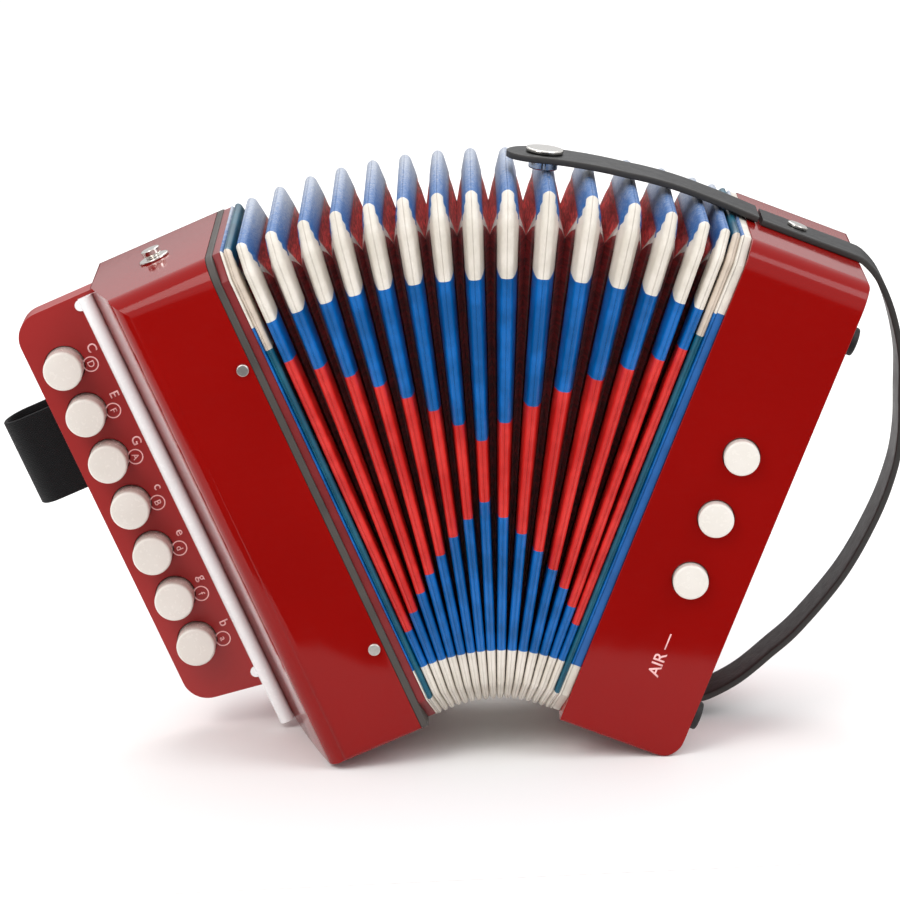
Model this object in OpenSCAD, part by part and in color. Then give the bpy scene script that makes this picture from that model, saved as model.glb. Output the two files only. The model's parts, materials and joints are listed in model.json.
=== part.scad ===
// Toy button accordion, fanned open and standing on the lower outer corners of its two cases.
// Millimetres, +Z up, player's side at +Y. Every body has its own frame whose origin lies on the
// hinge line at the bottom of the bellows: x runs from the treble case to the bass case, z runs up.

/* [Stance] */
// Angle between the two cases while the bellows is fanned open
fan_angle = 44.8; // [38:0.2:52]

/* [Cases] */
// Height of both cases
case_h = 200; // [170:1:245]
// Depth of both cases, front to back
case_d = 106; // [92:1:130]
// Wall of both moulded cases
case_wall = 2.5; // [2:0.1:3.2]
// Width of the treble case, gasket to outer side
treble_w = 52.5; // [46:0.5:64]
// Width of the bass case
bass_w = 47.7; // [40:0.5:60]
// Rounding of the upper front and upper back edges
shoulder_r = 11.5; // [8:0.5:15]
// Rounding of the treble case's lower outer corner
treble_foot_r = 12; // [9:0.5:15]
// Rounding of the bass case's lower outer corner
bass_foot_r = 9; // [6:0.5:13]
// Small rounding of the bottom front and back edges and of the upper outer corner
edge_r = 2; // [1:0.25:3]
// How much narrower the treble case is at its front
cheek = 15; // [10:0.5:20]
// Rounding between the slanted cheek and the front
cheek_r = 10; // [6:0.5:14]

/* [Bellows] */
// Thickness of one folded pleat
fold_t = 2.2; // [1.8:0.1:2.6]
// Distance between two neighbouring fold hinges
fold_pitch = 2.75; // [2.7:0.05:3.6]
// Depth of a pleat from its ridge to its valley
pleat_depth = 20; // [14:0.5:26]
// Chamfer at the corners of the bellows
bellows_chamfer = 9.4; // [6:0.2:12]
// Rubber gasket under the treble case
gasket_t = 2.8; // [2:0.1:4]
// Wooden end frame of the bellows on the treble side
treble_frame_t = 3.2; // [2.4:0.1:4.5]
// End frame of the bellows on the bass side, from the hinge line to the case
bass_frame_t = 2; // [1.6:0.1:3]

/* [Fingerboard] */
// Width of the fingerboard beside the treble case
board_w = 34.6; // [33:0.2:42]
// Where the front of the fingerboard lies, front to back
board_front = 4; // [-4:0.5:8]
// Depth of the hollow fingerboard
board_deep = 13; // [12:0.5:18]
// Wall of the fingerboard
board_wall = 2.2; // [1.8:0.1:2.8]
// Plate that closes the back of the fingerboard
base_t = 2.5; // [2:0.1:4]
// Rounding of the two outer corners of the fingerboard
board_r = 10.5; // [6:0.5:14]
// How far the lower edge of the fingerboard falls towards the case
board_slant = 5; // [0:0.5:8]
// Width of the white rail
rail_w = 6; // [5:0.25:7]

/* [Treble keys] */
// Distance between two key buttons
key_pitch = 20.4; // [19.5:0.1:22]
// Radius of a key button
key_r = 7.7; // [6.5:0.1:8.5]
// How far a key button stands out
key_proud = 10; // [7:0.5:12]
// Travel of a key button
key_travel = 3.5; // [2.5:0.1:3.6]
// Gap around a button in its hole
button_gap = 0.35; // [0.3:0.05:0.6]
// Radius of the steel axle that carries the key levers
axle_r = 1; // [0.9:0.1:1.5]
// Clearance of a lever's bore on the axle
axle_gap = 0.05; // [0.02:0.01:0.1]
// Thickness of the pallet board
pallet_board_t = 4; // [3:0.5:6]
// Radius of a lever's leather-faced pad
pad_r = 6; // [5:0.25:6.5]

/* [Bass buttons] */
// Distance between two bass buttons
bass_pitch = 26; // [23:0.5:30]
// Radius of a bass button
bass_r = 6.8; // [6:0.1:8]
// How far a bass button stands out
bass_proud = 4; // [3.5:0.1:6]
// Travel of a bass button
bass_travel = 3; // [2:0.1:3]

/* [Straps and feet] */
// Width of the hand strap
strap_w = 22; // [18:0.5:28]
// Thickness of the hand strap
strap_t = 2.5; // [2:0.1:3]
// How far the hand strap stands off the bass case at its fullest
strap_bulge = 44; // [36:0.5:52]
// Width of the thumb strap
thumb_w = 36; // [30:0.5:42]
// Thickness of the thumb strap
thumb_t = 1.6; // [1.2:0.1:2.2]
// Room for the thumb inside its strap
thumb_gap = 15; // [13:0.5:20]
// Radius of a rubber foot
foot_r = 5.5; // [4:0.25:7]
// Height of a rubber foot
foot_h = 3; // [2:0.25:5]

/* [Hidden] */
$fn = 48;
key_count = 7;
fold_count = 17;
hinge_count = fold_count + 1;

// Heights in a body's own frame
bead_r = fold_t / 2;
low = -bead_r - 0.5;
top = low + case_h;
bellows_top = top - 0.4;
bellows_d = case_d - 3;
// How freely each of the hinges opens: the pleats near the cases stay shut longest
shares = [0.1, 0.35, 1.1, 1.2, 1.15, 1.2, 1.2, 1.2, 1.2, 1.3, 1.5, 1.6, 1.6, 1.35, 1.2, 0.65, 0.2, 0.1];
// Layers of the treble side, from the first fold outwards
run_gap = 0.4;
frame_x = -bead_r - run_gap;
gasket_x = frame_x - treble_frame_t;
seat_x = gasket_x - gasket_t;
side_x = seat_x - treble_w;
cheek_end = board_front - 0.5;
// Layers of the bass side
bass_x = bass_frame_t;
bass_side = bass_x + bass_w;

// Fingerboard and keys
board_x = side_x - board_w;
board_top = top - 1.6;
key_x = side_x - 22;
key_top = top - 25.1;
function key_z(k) = key_top - (k - 1) * key_pitch;
board_low = key_z(key_count) - 23;
lever_y = board_front + 6;
lever_t = 2.2;
lever_w = 5;
pivot_x = side_x + 10;
pallet_x = side_x + 30;
cap_back = board_front + board_wall;
pad_gap = 0.3;
pallet_board_y = lever_y + 4.3;
post_t = 3;
// Bass action
bass_key_x = bass_x + 26;
function bass_z(k) = top - 77.7 - (k - 1) * bass_pitch;
bass_board_y = -case_d / 2 + case_wall + 9.5;
bass_board_t = 3;
pallet_y = bass_board_y + bass_board_t + 0.3;
pallet_r = 7.5;
pallet_t = 3;
inner_wall = 2.5;

// Straps: the hand strap's screw, the tab that closes the bellows, and its snap
strap_z = top + strap_t / 2;
tab_x = bass_x + 4;
stud_x = seat_x - 24;
snap_x = stud_x - fold_pitch * fold_count;
tab_end = snap_x - 14;
tab_bend = -20;
tab_lift = 0.45;
snap_r = 7.25;
// The tab falls away along a parabola beyond its bend
function tab_z(x) = strap_z + tab_lift - (x < tab_bend ? 0.00223 * pow(x - tab_bend, 2) : 0);
// The hand strap leaves the top of the case, bulges out and comes back to the outer side
strap_route = [
    [tab_x + strap_t / 2 + 0.3, strap_z], [bass_side - 1, strap_z], [bass_side + 4, strap_z - 1.2],
    [bass_side + 0.42 * strap_bulge, top - 14],
    [bass_side + 0.78 * strap_bulge, top - 43], [bass_side + strap_bulge, top - 72],
    [bass_side + 1.02 * strap_bulge, top - 92], [bass_side + 0.95 * strap_bulge, top - 118],
    [bass_side + 0.76 * strap_bulge, top - 144], [bass_side + 0.42 * strap_bulge, low + 28],
    [bass_side + strap_t / 2, low + 13], [bass_side + strap_t / 2, low + foot_r * 0.9]];
thumb_z = key_z(3) + 7.5;
thumb_out = 24;
thumb_x = board_x - thumb_out;

// Standing: both lower outer roundings touch the ground
body_y = bass_proud / 2;
function share_sum(i) = i < 1 ? 0 : shares[i - 1] + share_sum(i - 1);
function fan(i) = fan_angle * (share_sum(i) / share_sum(hinge_count) - 0.5);
function chain(i) = i <= 1 ? [0, 0] : chain(i - 1) + fold_pitch * [cos(fan(i - 1)), -sin(fan(i - 1))];
function turn(p, a) = [p[0] * cos(a) + p[1] * sin(a), p[1] * cos(a) - p[0] * sin(a)];
treble_heel = turn([side_x + treble_foot_r, low + treble_foot_r], fan(0));
bass_heel = chain(hinge_count) + turn([bass_side - bass_foot_r, low + bass_foot_r], fan(hinge_count));
heel_line = bass_heel - treble_heel;
tilt = atan2(heel_line[1], heel_line[0]) - asin((bass_foot_r - treble_foot_r) / norm(heel_line));
function lean(i) = fan(i) + tilt;
stand_z = treble_foot_r - turn(treble_heel, tilt)[1];
left_edge = turn([thumb_x, thumb_z + thumb_w / 2], lean(0))[0];
right_edge = turn(chain(hinge_count), tilt)[0]
    + max([for (p = strap_route) turn(p, lean(hinge_count))[0]]) + strap_t / 2;
function hinge(i) = turn(chain(max(i, 1)), tilt) + [-(left_edge + right_edge) / 2, stand_z];
module place(i) translate([hinge(i)[0], body_y, hinge(i)[1]]) rotate([0, lean(i), 0]) children();

// A corner b between its neighbours a and c: the point at distance r from both edges
function unit(v) = v / norm(v);
function half(a, b, c) = acos(unit(a - b) * unit(c - b)) / 2;
function centre(a, b, c, r) = b + unit(unit(a - b) + unit(c - b)) * r / sin(half(a, b, c));
function before(p, i) = p[(i + len(p) - 1) % len(p)];
function after(p, i) = p[(i + 1) % len(p)];
function inset(p, w) = [for (i = [0:len(p) - 1]) centre(before(p, i), p[i], after(p, i), w)];
function cut(a, b, c, r) = r <= 0 ? [b]
    : [b + unit(a - b) * r / tan(half(a, b, c)), b + unit(c - b) * r / tan(half(a, b, c))];
// An outline whose corners are rounded, each with its own radius
module rounded(p, radii) {
    polygon([for (i = [0:len(p) - 1]) each cut(before(p, i), p[i], after(p, i), radii[i])]);
    for (i = [0:len(p) - 1])
        if (radii[i] > 0)
            translate(centre(before(p, i), p[i], after(p, i), radii[i])) circle(radii[i]);
}
// An X-Z outline made deep along Y, and a Y-Z outline made long along X
module along_y(y0, y1) translate([0, y1, 0]) rotate([90, 0, 0]) linear_extrude(y1 - y0) children();
module along_x(x0, x1) translate([x0, 0, 0]) rotate([90, 0, 90]) linear_extrude(x1 - x0) children();
module box(x0, x1, y0, y1, z0, z1) translate([x0, y0, z0]) cube([x1 - x0, y1 - y0, z1 - z0]);
module pin_y(x, z, r, y0, y1) translate([x, y1, z]) rotate([90, 0, 0]) cylinder(r = r, h = y1 - y0);

// The cases: a plan, a front view and a cross-section meet in one rounded shell
function treble_plan(open) = [[seat_x + open, -case_d / 2], [seat_x + open, case_d / 2],
    [side_x, case_d / 2], [side_x, cheek_end], [side_x + cheek, -case_d / 2]];
function treble_view(open) = [[side_x, low], [seat_x + open, low], [seat_x + open, top], [side_x, top]];
function bass_view(open) = [[bass_x - open, low], [bass_side, low], [bass_side, top],
    [bass_x - open, top]];
case_section = [[-case_d / 2, low], [case_d / 2, low], [case_d / 2, top], [-case_d / 2, top]];
function less(r, w) = max(r - w, 0);
open_side = case_wall + 1;
module case_outline(w) rounded(inset(case_section, w),
    [less(edge_r, w), less(edge_r, w), less(shoulder_r, w), less(shoulder_r, w)]);

module treble_block(w, open) intersection() {
    translate([0, 0, low - 1]) linear_extrude(case_h + 2)
        rounded(inset(treble_plan(open), w), [0, 0, 0, 0, less(cheek_r, w)]);
    along_y(-case_d, case_d)
        rounded(inset(treble_view(open), w), [less(treble_foot_r, w), 0, 0, less(edge_r, w)]);
    along_x(side_x - 1, seat_x + open_side) case_outline(w);
}
module treble_case() color("darkred") place(0) difference() {
    treble_block(0, 0);
    treble_block(case_wall, open_side);
    for (k = [1:key_count])
        box(side_x - 1, side_x + case_wall + 1, lever_y - 1.7, lever_y + 2.9,
            key_z(k) - 3.2, key_z(k) + 3.2);
    for (z = screw_z) pin_y(screw_x, z, screw_r + 0.05, -case_d / 2 - 1, -case_d / 2 + case_wall + 1);
    translate([stud_x, 0, top - case_wall - 1]) cylinder(r = 1.55, h = case_wall + 2);
}
screw_x = seat_x - 3.5;
screw_r = 1.2;
screw_z = [low + 37, top - 43];
module treble_screws() color("silver") place(0) for (z = screw_z) {
    pin_y(screw_x, z, screw_r, -case_d / 2 - 0.5, -case_d / 2 + case_wall - 0.2);
    pin_y(screw_x, z, 2.35, -case_d / 2 - 1.3, -case_d / 2);
}

// Bellows: end frames, gasket and seventeen folds, all rings of one outline
bellows_outline = [[-bellows_d / 2, -bead_r], [bellows_d / 2, -bead_r], [bellows_d / 2, bellows_top],
    [-bellows_d / 2, bellows_top]];
module octagon() polygon([for (i = [0:3])
    each [bellows_outline[i] + unit(before(bellows_outline, i) - bellows_outline[i]) * bellows_chamfer,
        bellows_outline[i] + unit(after(bellows_outline, i) - bellows_outline[i]) * bellows_chamfer]]);
module opening(x0, x1) box(x0 - 1, x1 + 1, -bellows_d / 2 + pleat_depth, bellows_d / 2 - pleat_depth,
    pleat_depth, bellows_top - pleat_depth);
module fold(i) color(i % 2 == 0 ? "royalblue" : "crimson") place(i) difference() {
    intersection() {
        along_y(-bellows_d / 2, bellows_d / 2) union() {
            translate([-bead_r, 0]) square([fold_t, bellows_top]);
            circle(bead_r);
        }
        along_x(-fold_t, fold_t) octagon();
    }
    opening(-bead_r, bead_r);
}
module treble_frame() color("indianred") place(0) difference() {
    along_x(gasket_x, frame_x) octagon();
    opening(gasket_x, frame_x);
}
module treble_gasket() color("dimgray") place(0) difference() {
    along_x(seat_x, gasket_x)
        rounded(case_section, [edge_r, edge_r, shoulder_r, shoulder_r]);
    opening(seat_x, gasket_x);
}
module bass_frame() color("indianred") place(hinge_count) difference() {
    intersection() {
        along_y(-bellows_d / 2, bellows_d / 2) union() {
            translate([-bead_r, 0]) square([bead_r + bass_frame_t, bellows_top]);
            translate([0, -bead_r]) square([bass_frame_t, bead_r]);
            circle(bead_r);
        }
        along_x(-fold_t, fold_t + bass_frame_t) octagon();
    }
    opening(-bead_r, bass_frame_t);
}
// The cloth lining follows the fan inside the openings of the rings
cloth_t = 1;
function lining(w) = concat(
    [for (i = [0:hinge_count]) hinge(i) + turn([i == 0 ? frame_x : 0, pleat_depth + 0.3 + w], lean(i))],
    [for (i = [hinge_count:-1:0])
        hinge(i) + turn([i == 0 ? frame_x : 0, bellows_top - pleat_depth - 0.3 - w], lean(i))]);
lining_d = bellows_d - 2 * pleat_depth - 0.6;
module bellows_cloth() color("gray") translate([0, body_y, 0]) difference() {
    along_y(-lining_d / 2, lining_d / 2) polygon(lining(0));
    along_y(-lining_d / 2 + cloth_t, lining_d / 2 - cloth_t) union() {
        polygon(lining(cloth_t));
        for (i = [0, hinge_count]) translate(hinge(i)) rotate(-lean(i))
            translate([i == 0 ? frame_x - 1 : -1, pleat_depth + 0.3 + cloth_t])
                square([2, bellows_top - 2 * (pleat_depth + 0.3 + cloth_t)]);
    }
}

// Fingerboard
function board_shape(w) = [[board_x + w, board_low + w], [side_x, board_low - board_slant + w],
    [side_x, board_top - w], [board_x + w, board_top - w]];
module board_outline(w) rounded(board_shape(w), [board_r - w, 0, 0, board_r - w]);
module fingerboard() color("firebrick") place(0) difference() {
    along_y(board_front, board_front + board_deep) board_outline(0);
    along_y(board_front + board_wall, board_front + board_deep + 1) union() {
        board_outline(board_wall);
        translate([side_x - 1, board_low]) square([2, board_top - board_low - board_wall]);
    }
    for (k = [1:key_count]) pin_y(key_x, key_z(k), key_r + button_gap, board_front - 1, cap_back + 1);
}
module fingerboard_base() color("darkred") place(0)
    along_y(board_front + board_deep, board_front + board_deep + base_t) board_outline(0.8);
rail_low = low + 8;
rail_top = top - 3;
module rail() color("whitesmoke") place(0) {
    intersection() {
        translate([side_x - rail_w / 2, board_front - 0.5, rail_low])
            cylinder(r = rail_w / 2, h = rail_top - rail_low);
        box(side_x - rail_w, side_x, board_front - rail_w, board_front, rail_low, rail_top);
    }
    for (z = [board_low + 2, board_top - 4])
        pin_y(side_x - rail_w, z, 2.2, board_front - 1.2, board_front);
}

// Treble action: each key button pushes a lever that lifts its pad off the pallet board
module key_button(k) color("ivory") place(0) {
    pin_y(key_x, key_z(k), key_r, board_front - key_proud, cap_back - 0.2);
    pin_y(key_x, key_z(k), 2, cap_back - 0.2, lever_y - lever_t / 2 - 0.4);
}
module key_lever(k) color("tan") place(0) difference() {
    union() {
        box(key_x - 2, pallet_x + 4, lever_y - lever_t / 2, lever_y + lever_t / 2,
            key_z(k) - lever_w / 2, key_z(k) + lever_w / 2);
        translate([pivot_x, lever_y, key_z(k) - lever_w / 2]) cylinder(r = axle_r + 1.4, h = lever_w);
        pin_y(pallet_x, key_z(k), pad_r, lever_y + lever_t / 2, pallet_board_y - pad_gap);
    }
    translate([pivot_x, lever_y, key_z(k) - lever_w]) cylinder(r = axle_r + axle_gap, h = 2 * lever_w);
}
axle_low = key_z(key_count) - key_pitch / 2 - post_t / 2 - 1;
axle_top = key_z(1) + key_pitch / 2 + post_t / 2 + 1;
module key_axle() color("silver") place(0)
    translate([pivot_x, lever_y, axle_low]) cylinder(r = axle_r, h = axle_top - axle_low);
spring_gap = 0.25;
module key_springs() color("gold") place(0) for (k = [1:key_count]) {
    translate([pivot_x, lever_y, key_z(k) + lever_w / 2 + 0.4]) difference() {
        cylinder(r = axle_r + spring_gap + 0.6, h = 3.6);
        translate([0, 0, -1]) cylinder(r = axle_r + spring_gap, h = 6);
    }
    box(pivot_x + axle_r + spring_gap, pivot_x + 14, lever_y + 0.2, lever_y + 0.8,
        key_z(k) + lever_w / 2 + 1, key_z(k) + lever_w / 2 + 1.6);
    box(pivot_x + 13.4, pivot_x + 14, lever_y + 0.2, pallet_board_y,
        key_z(k) + lever_w / 2 + 1, key_z(k) + lever_w / 2 + 1.6);
}
foot_inner = treble_foot_r - case_wall;
module pallet_board() color("burlywood") place(0) difference() {
    union() {
        along_y(pallet_board_y, pallet_board_y + pallet_board_t) polygon([
            [side_x + case_wall, low + case_wall + foot_inner],
            [side_x + case_wall + foot_inner, low + case_wall],
            [seat_x, low + case_wall], [seat_x, top - case_wall], [side_x + case_wall, top - case_wall]]);
        along_x(seat_x - inner_wall, seat_x) polygon([
            [-case_d / 2 + case_wall, low + case_wall], [pallet_board_y, low + case_wall],
            [pallet_board_y, top - case_wall], [-case_d / 2 + shoulder_r, top - case_wall],
            [-case_d / 2 + case_wall, top - shoulder_r]]);
        for (k = [0:key_count])
            box(pivot_x - 3, pivot_x + 3, lever_y - 3, pallet_board_y,
                key_z(k) - key_pitch / 2 - post_t / 2, key_z(k) - key_pitch / 2 + post_t / 2);
    }
    translate([pivot_x, lever_y, axle_low - 1]) cylinder(r = axle_r + 0.02, h = axle_top - axle_low + 2);
    for (k = [1:key_count])
        pin_y(pallet_x, key_z(k), pad_r - 2.5, pallet_board_y - 1, pallet_board_y + pallet_board_t + 1);
}
// A brass plate with one tongue over each window
module reed(x, z, y, len) difference() {
    box(x - 3, x + len + 3, y, y + 1, z - 4, z + 4);
    difference() {
        box(x - 1.5, x + len, y - 1, y + 2, z - 1.6, z + 1.6);
        box(x - 2, x + len - 0.4, y + 0.3, y + 0.7, z - 1.3, z + 1.3);
    }
}
module treble_reeds() color("gold") place(0) for (k = [1:key_count])
    reed(pallet_x - 8, key_z(k), pallet_board_y + pallet_board_t, 15);

// Bass action: a button, its stem and its pallet move as one piece
module bass_button(k) color("ivory") place(hinge_count) {
    pin_y(bass_key_x, bass_z(k), bass_r, -case_d / 2 - bass_proud, -case_d / 2 + case_wall + 1);
    pin_y(bass_key_x, bass_z(k), 2, -case_d / 2 + case_wall + 1, pallet_y);
    pin_y(bass_key_x, bass_z(k), pallet_r, pallet_y, pallet_y + pallet_t);
}
module bass_board() color("burlywood") place(hinge_count) difference() {
    union() {
        along_y(bass_board_y, bass_board_y + bass_board_t) polygon([
            [bass_x, low + case_wall], [bass_side - bass_foot_r, low + case_wall],
            [bass_side - case_wall, low + bass_foot_r], [bass_side - case_wall, top - case_wall - 6],
            [bass_x, top - case_wall - 6]]);
        along_x(bass_x, bass_x + inner_wall) polygon([
            [-case_d / 2 + case_wall, low + case_wall], [bass_board_y, low + case_wall],
            [bass_board_y, top - shoulder_r], [-case_d / 2 + case_wall, top - shoulder_r]]);
    }
    for (k = [1:3]) pin_y(bass_key_x, bass_z(k), 5, bass_board_y - 1, bass_board_y + bass_board_t + 1);
}
module bass_springs() color("gold") place(hinge_count) for (k = [1:3]) difference() {
    pin_y(bass_key_x, bass_z(k), 6.2, bass_board_y - 4, bass_board_y);
    pin_y(bass_key_x, bass_z(k), 5.5, bass_board_y - 5, bass_board_y + 1);
}
module bass_reeds() color("gold") place(hinge_count) for (k = [0:2])
    reed(bass_x + inner_wall + 8, low + 22 + 12 * k, bass_board_y + bass_board_t, 18);
module bass_block(w, open) intersection() {
    along_y(-case_d, case_d)
        rounded(inset(bass_view(open), w), [0, less(bass_foot_r, w), less(edge_r, w), 0]);
    along_x(bass_x - open_side, bass_side + 1) case_outline(w);
}
module bass_case() color("darkred") place(hinge_count) difference() {
    bass_block(0, 0);
    bass_block(case_wall, open_side);
    for (k = [1:3])
        pin_y(bass_key_x, bass_z(k), bass_r + button_gap, -case_d / 2 - 1, -case_d / 2 + case_wall + 1);
    translate([strap_screw_x, 0, top - case_wall - 1]) cylinder(r = screw_r + 0.05, h = case_wall + 2);
}

// Straps
strap_screw_x = bass_x + 20.6;
function side_step(a, b, w) = unit([a[1] - b[1], b[0] - a[0]]) * w;
// A strap of even thickness along a route: its two faces, offset to either side
function face(p, w) = [for (i = [0:len(p) - 1])
    i == 0 ? p[0] + side_step(p[0], p[1], w)
    : i == len(p) - 1 ? p[i] + side_step(p[i - 1], p[i], w)
    : let (n = unit(side_step(p[i - 1], p[i], 1) + side_step(p[i], p[i + 1], 1)))
        p[i] + n * w / (n * side_step(p[i - 1], p[i], 1))];
function flip(p) = [for (i = [len(p) - 1:-1:0]) p[i]];
module strap_band(route, t) polygon(concat(face(route, -t / 2), flip(face(route, t / 2))));
module hand_strap() color([0.12, 0.12, 0.12]) place(hinge_count) difference() {
    along_y(-strap_w / 2, strap_w / 2) strap_band(strap_route, strap_t);
    translate([strap_screw_x, 0, strap_z - strap_t]) cylinder(r = screw_r + 0.05, h = 2 * strap_t);
}
snap_flat = 9;
tab_route = [for (x = [tab_end, snap_x - snap_flat, snap_x + snap_flat, tab_bend - 30, tab_bend - 15,
    tab_bend, tab_x]) [x, tab_z(x)]];
module strap_tab() color([0.12, 0.12, 0.12]) place(hinge_count) difference() {
    along_y(-strap_w / 2, strap_w / 2) union() {
        strap_band(tab_route, strap_t);
        translate([tab_x, tab_z(tab_x)]) circle(strap_t / 2);
    }
    snap_frame() cylinder(r = 2.6, h = 3 * strap_t, center = true);
}
snap_ends = [tab_z(snap_x - snap_flat), tab_z(snap_x + snap_flat)];
snap_lean = atan2(snap_ends[0] - snap_ends[1], 2 * snap_flat);
module snap_frame() translate([snap_x, 0, (snap_ends[0] + snap_ends[1]) / 2]) rotate([0, snap_lean, 0])
    children();
module snap() color("silver") place(hinge_count) snap_frame() rotate_extrude() difference() {
    union() {
        translate([0, strap_t / 2 + 0.3]) square([snap_r, 1.6]);
        translate([0, -strap_t / 2 - 0.3]) square([2.5, strap_t + 1]);
        translate([0, -strap_t / 2 - 3.6]) square([5.6, 3.3]);
    }
    translate([-1, -strap_t / 2 - 4.6]) square([stud_r + 1.1, 4]);
}
stud_r = 3.75;
module strap_stud() color("silver") place(0) translate([stud_x, 0, top]) rotate_extrude() union() {
    square([6, 1]);
    square([2.8, 4]);
    translate([0, 2]) square([stud_r, 2.4]);
    translate([0, -case_wall]) square([1.5, case_wall + 1]);
}
module strap_screws() color("silver") place(hinge_count) {
    translate([strap_screw_x, 0, strap_z - strap_t / 2 - case_wall + 0.2])
        cylinder(r = screw_r, h = case_wall + strap_t);
    translate([strap_screw_x, 0, strap_z + strap_t / 2]) cylinder(r = 4, h = 1.4);
}
thumb_y = board_front + board_deep + base_t;
module thumb_strap() color([0.1, 0.1, 0.1]) place(0) translate([0, 0, thumb_z - thumb_w / 2])
    linear_extrude(thumb_w) difference() {
        union() {
            translate([thumb_x + thumb_round, thumb_y])
                square([side_x - thumb_x - thumb_round, thumb_gap + 2 * thumb_t]);
            translate([thumb_x + thumb_round, thumb_y + thumb_round]) circle(thumb_round);
        }
        translate([thumb_x + thumb_round, thumb_y + thumb_t])
            square([side_x - thumb_x - thumb_round + 1, thumb_gap]);
        translate([thumb_x + thumb_round, thumb_y + thumb_round]) circle(thumb_round - thumb_t);
    }
thumb_round = thumb_t + thumb_gap / 2;
module feet() color([0.15, 0.15, 0.15]) place(hinge_count)
    for (z = [low + 18.5, top - 23.1], y = [-1, 1])
        translate([bass_side, y * (case_d / 2 - 8), z]) rotate([0, 90, 0])
            cylinder(r = foot_r, h = foot_h);

fold(1);  // fold_01
fold(2);  // fold_02
fold(3);  // fold_03
fold(4);  // fold_04
fold(5);  // fold_05
fold(6);  // fold_06
fold(7);  // fold_07
fold(8);  // fold_08
fold(9);  // fold_09
fold(10);  // fold_10
fold(11);  // fold_11
fold(12);  // fold_12
fold(13);  // fold_13
fold(14);  // fold_14
fold(15);  // fold_15
fold(16);  // fold_16
fold(17);  // fold_17
key_button(1);  // key_button_1
key_button(2);  // key_button_2
key_button(3);  // key_button_3
key_button(4);  // key_button_4
key_button(5);  // key_button_5
key_button(6);  // key_button_6
key_button(7);  // key_button_7
key_lever(1);  // key_lever_1
key_lever(2);  // key_lever_2
key_lever(3);  // key_lever_3
key_lever(4);  // key_lever_4
key_lever(5);  // key_lever_5
key_lever(6);  // key_lever_6
key_lever(7);  // key_lever_7
bass_button(1);  // bass_button_1
bass_button(2);  // bass_button_2
bass_button(3);  // air_button
key_axle();
key_springs();
treble_case();
treble_gasket();
treble_frame();
fingerboard();
fingerboard_base();
rail();
pallet_board();
treble_reeds();
thumb_strap();
strap_stud();
treble_screws();
bass_case();
bass_frame();
bass_board();
bass_springs();
bass_reeds();
hand_strap();
strap_tab();
snap();
strap_screws();
feet();
bellows_cloth();
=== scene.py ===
import json
import math

import bmesh
import bpy
import numpy as np
from mathutils import Matrix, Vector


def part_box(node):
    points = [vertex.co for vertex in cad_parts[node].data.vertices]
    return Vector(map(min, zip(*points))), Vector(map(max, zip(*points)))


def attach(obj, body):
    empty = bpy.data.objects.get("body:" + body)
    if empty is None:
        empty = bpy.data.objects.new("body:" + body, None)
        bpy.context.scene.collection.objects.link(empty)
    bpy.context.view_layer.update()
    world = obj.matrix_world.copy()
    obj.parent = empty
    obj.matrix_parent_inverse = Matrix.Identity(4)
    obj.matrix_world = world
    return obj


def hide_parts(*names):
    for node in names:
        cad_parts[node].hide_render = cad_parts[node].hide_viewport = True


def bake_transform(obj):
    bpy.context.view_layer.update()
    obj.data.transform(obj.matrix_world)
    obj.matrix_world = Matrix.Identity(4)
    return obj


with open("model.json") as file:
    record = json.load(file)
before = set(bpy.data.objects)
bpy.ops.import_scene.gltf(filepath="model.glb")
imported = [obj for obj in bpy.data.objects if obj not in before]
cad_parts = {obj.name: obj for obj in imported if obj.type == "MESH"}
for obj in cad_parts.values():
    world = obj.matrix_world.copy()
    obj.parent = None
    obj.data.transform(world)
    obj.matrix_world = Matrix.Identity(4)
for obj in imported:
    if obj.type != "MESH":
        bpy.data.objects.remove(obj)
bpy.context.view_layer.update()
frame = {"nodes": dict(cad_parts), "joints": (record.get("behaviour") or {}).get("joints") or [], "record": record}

# ---- Camera ---------------------------------------------------------------------------------
# A long lens stands a little above the instrument and looks at the middle of the open bellows,
# rolled slightly so that the instrument leans as it does on its two round corners.
MM = 0.001
FOLDS = 17
BASS = FOLDS + 1
joint = {j["name"]: j for j in frame["joints"]}
hinges = np.array([joint[f"pleat_hinge_{i:02d}"]["pos_m"] for i in range(1, FOLDS + 2)])
AZIMUTH, ELEVATION, ROLL = math.radians(-0.7666), math.radians(15.0244), math.radians(-2.9397)
DISTANCE, FOCAL_PX, FRAME_PX = 1.58883, 4074.6, 900
aim = (hinges[0] + hinges[-1]) / 2 + np.array([-0.013551, 0, 0.092511])
forward = np.array([math.sin(AZIMUTH) * math.cos(ELEVATION),
                    math.cos(AZIMUTH) * math.cos(ELEVATION), -math.sin(ELEVATION)])
level = np.array([math.cos(AZIMUTH), -math.sin(AZIMUTH), 0])
upright = np.cross(level, forward)
right = level * math.cos(ROLL) + upright * math.sin(ROLL)
up = upright * math.cos(ROLL) - level * math.sin(ROLL)
camera_data = bpy.data.cameras.new("camera")
camera_data.sensor_width = 36
camera_data.lens = FOCAL_PX * 36 / FRAME_PX
camera_data.clip_start, camera_data.clip_end = 0.05, 60
camera = bpy.data.objects.new("camera", camera_data)
bpy.context.scene.collection.objects.link(camera)
turned = np.eye(4)
turned[:3, 0], turned[:3, 1], turned[:3, 2] = right, up, -forward
turned[:3, 3] = aim - forward * DISTANCE
camera.matrix_world = Matrix(turned.tolist())
bpy.context.scene.camera = camera

# ---- Floor and studio -----------------------------------------------------------------------
# A matt white sweep with a bright tent above it and two soft boxes. The sheet is lit hard only near
# the instrument; the room in front of it is dark, and gives the lacquer its depth.
bpy.context.scene.view_settings.view_transform = "Standard"


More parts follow.
